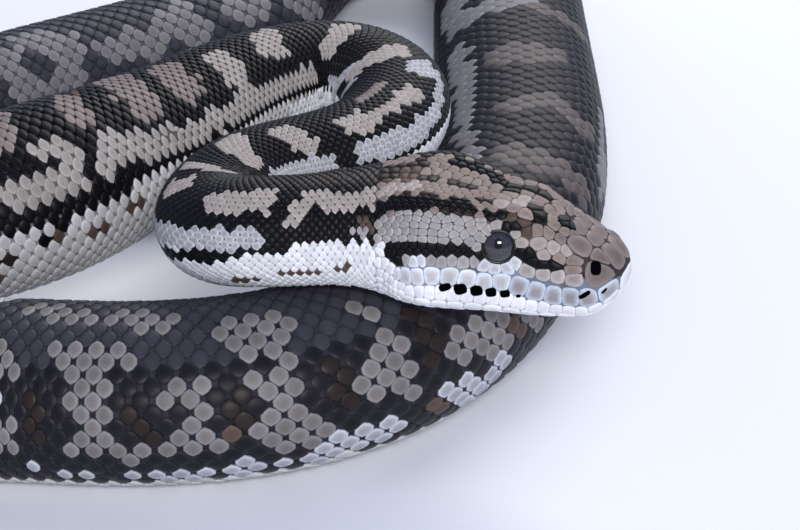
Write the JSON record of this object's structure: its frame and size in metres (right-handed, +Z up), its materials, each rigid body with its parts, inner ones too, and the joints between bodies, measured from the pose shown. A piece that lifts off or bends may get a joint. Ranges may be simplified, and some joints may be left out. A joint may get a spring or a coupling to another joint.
{
  "type": "coiled python snake",
  "caption": "Life-size python resting in a flat coil on the floor, its neck folded over the coil and its head raised on the front of it, mouth closed; a still figure.",
  "frame": {"origin": "on the floor, under the middle of the box round the coil", "axes": "+Z up; +X to the right of the view with the head pointing right; +Y away from it, towards the back of the coil"},
  "size_m": [0.2178, 0.3003, 0.0602],
  "materials": {
    "head_skin": "small smooth scales, tan and dark brown with pale lips, low gloss",
    "jaw_skin": "smooth bluish white scales, low gloss",
    "neck_skin": "small smooth scales, tan blotches on black with a pale flank, low gloss",
    "trunk_skin": "smooth scales, bluish black with grey and tan blotches, low gloss",
    "tail_skin": "smooth scales, bluish black with grey blotches, low gloss",
    "eye": "clear scale over a dark grey iris with an upright pupil, glossy"
  },
  "bodies": {
    "root": {"head": "head_skin", "lower_jaw": "jaw_skin", "eye_right": "eye", "eye_left": "eye", "neck": "neck_skin", "trunk_01": "trunk_skin", "trunk_02": "trunk_skin", "trunk_03": "trunk_skin", "trunk_04": "trunk_skin", "trunk_05": "trunk_skin", "trunk_06": "trunk_skin", "trunk_07": "trunk_skin", "trunk_08": "trunk_skin", "trunk_09": "trunk_skin", "trunk_10": "trunk_skin", "trunk_11": "trunk_skin", "trunk_12": "trunk_skin", "trunk_13": "trunk_skin", "trunk_14": "trunk_skin", "tail_1": "tail_skin", "tail_2": "tail_skin", "tail_3": "tail_skin", "tail_4": "tail_skin", "tail_5": "tail_skin", "tail_6": "tail_skin"}
  },
  "joints": []
}
